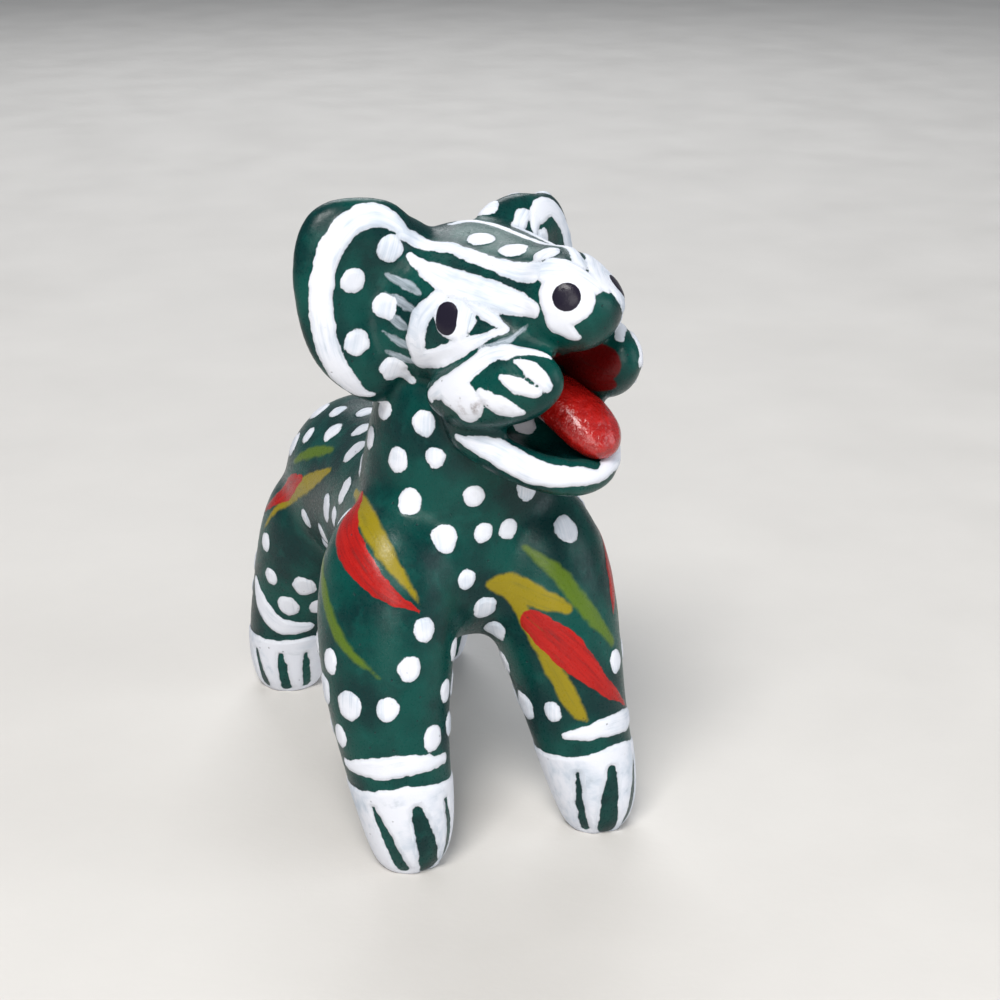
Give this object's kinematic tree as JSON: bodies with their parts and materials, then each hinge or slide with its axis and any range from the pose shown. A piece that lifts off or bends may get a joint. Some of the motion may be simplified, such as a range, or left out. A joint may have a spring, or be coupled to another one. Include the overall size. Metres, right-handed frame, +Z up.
{
  "type": "clay animal figure",
  "caption": "Small hand-modelled and painted fired-clay animal standing on its feet, with dish ears, a turned head and an open mouth.",
  "frame": {"origin": "middle of the figure's box, on the surface that the soles rest on", "axes": "+Z up, the body faces -Y with its head turned 20 degrees towards its own left, and its left side is +X"},
  "size_m": [0.025, 0.0502, 0.0498],
  "materials": {
    "body_paint": "dark green enamel paint over fired clay, satin",
    "white_paint": "thick white paint over fired clay, chalky",
    "tongue_paint": "thick red enamel paint over fired clay, glossy"
  },
  "bodies": {
    "root": {"torso": "body_paint", "neck": "body_paint", "head": "body_paint", "right_ear": "body_paint", "left_ear": "body_paint", "nose": "body_paint", "right_whisker_pad": "white_paint", "left_whisker_pad": "white_paint", "lower_jaw": "body_paint", "tongue": "tongue_paint", "front_right_leg": "body_paint", "front_left_leg": "body_paint", "hind_right_leg": "body_paint", "hind_left_leg": "body_paint", "tail": "body_paint"}
  },
  "joints": []
}
